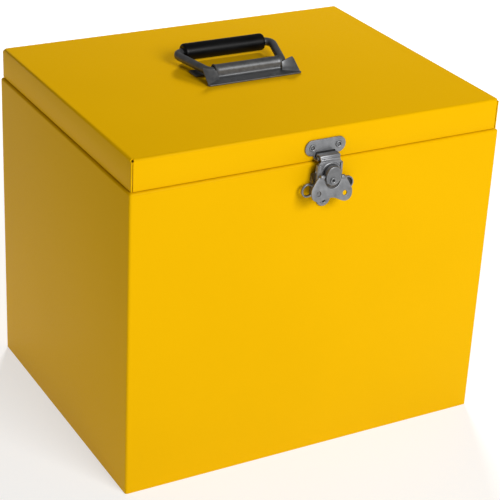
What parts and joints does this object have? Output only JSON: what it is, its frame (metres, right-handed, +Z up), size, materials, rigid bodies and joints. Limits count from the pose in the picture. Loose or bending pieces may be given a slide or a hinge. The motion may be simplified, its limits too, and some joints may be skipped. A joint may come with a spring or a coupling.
{
  "type": "fireproof document box",
  "caption": "Insulated sheet-steel document box with a hinged lift-up lid, a fold-down carrying handle on top and a rotary draw latch with a butterfly wing on the front.",
  "frame": {"origin": "middle of the underside, on the surface that the box stands on", "axes": "+Z up; the front with the latch faces -Y; +X to the right of someone facing the front"},
  "size_m": [0.4, 0.3419, 0.3689],
  "materials": {
    "yellow_powder_coat": "satin powder coat",
    "zinc_plated_steel": "bright zinc plating on stamped steel",
    "dull_stamped_steel": "dull zinc plating on stamped steel",
    "galvanised_sheet": "galvanised sheet",
    "insulation_board": "light mineral board",
    "fire_seal": "matt swelling strip",
    "black_vinyl": "soft satin vinyl"
  },
  "bodies": {
    "box": {"body_shell": "yellow_powder_coat", "bottom_plate": "yellow_powder_coat", "floor_insulation": "insulation_board", "front_insulation": "insulation_board", "rear_insulation": "insulation_board", "left_insulation": "insulation_board", "right_insulation": "insulation_board", "inner_liner": "galvanised_sheet", "body_hinge_leaf": "yellow_powder_coat", "body_hinge_rivet_1": "zinc_plated_steel", "body_hinge_rivet_2": "zinc_plated_steel", "body_hinge_rivet_3": "zinc_plated_steel", "body_hinge_rivet_4": "zinc_plated_steel", "body_hinge_rivet_5": "zinc_plated_steel", "hinge_pin": "zinc_plated_steel", "latch_base": "zinc_plated_steel", "latch_base_rivet_1": "zinc_plated_steel", "latch_base_rivet_2": "zinc_plated_steel", "latch_base_rivet_3": "zinc_plated_steel"},
    "lid": {"lid_shell": "yellow_powder_coat", "lid_insulation": "insulation_board", "lid_liner": "galvanised_sheet", "lid_seal": "fire_seal", "lid_hinge_leaf": "yellow_powder_coat", "lid_hinge_rivet_1": "zinc_plated_steel", "lid_hinge_rivet_2": "zinc_plated_steel", "lid_hinge_rivet_3": "zinc_plated_steel", "lid_hinge_rivet_4": "zinc_plated_steel", "lid_hinge_rivet_5": "zinc_plated_steel", "keeper": "zinc_plated_steel", "keeper_rivet_1": "zinc_plated_steel", "keeper_rivet_2": "zinc_plated_steel", "handle_base": "dull_stamped_steel", "handle_rivet_1": "dull_stamped_steel", "handle_rivet_2": "dull_stamped_steel", "handle_rivet_3": "dull_stamped_steel", "handle_rivet_4": "dull_stamped_steel", "handle_backing_plate": "galvanised_sheet"},
    "handle": {"handle_bail": "dull_stamped_steel", "handle_grip": "black_vinyl"},
    "drum": {"latch_drum": "zinc_plated_steel", "drum_washer": "galvanised_sheet", "drum_cap": "zinc_plated_steel", "cap_rivet": "zinc_plated_steel", "wing_pin_1": "zinc_plated_steel", "wing_pin_2": "zinc_plated_steel"},
    "link": {"latch_link": "zinc_plated_steel"},
    "wing": {"latch_wing": "zinc_plated_steel"}
  },
  "joints": [
    {"name": "lid_hinge", "type": "hinge", "parent": "box", "child": "lid", "pos_m": [0, 0.1605, 0.318], "axis": [-1, 0, 0], "range_deg": [0, 105]},
    {"name": "handle_pivot", "type": "hinge", "parent": "lid", "child": "handle", "pos_m": [0, 0, 0.3564], "axis": [1, 0, 0], "range_deg": [0, 84]},
    {"name": "drum_turn", "type": "hinge", "parent": "box", "child": "drum", "pos_m": [0, -0.1575, 0.3084], "axis": [0, -1, 0], "range_deg": [0, 180]},
    {"name": "link_swing", "type": "hinge", "parent": "drum", "child": "link", "pos_m": [-0.00052, -0.1575, 0.30413], "axis": [0, -1, 0], "range_deg": [-180, 0]},
    {"name": "wing_flip", "type": "hinge", "parent": "drum", "child": "wing", "pos_m": [-0.00018, -0.17265, 0.30691], "axis": [-0.9925, 0, 0.1219], "range_deg": [0, 77]}
  ],
  "couplings": [
    {"joint": "link_swing", "follows": "drum_turn", "ratio": -1}
  ]
}
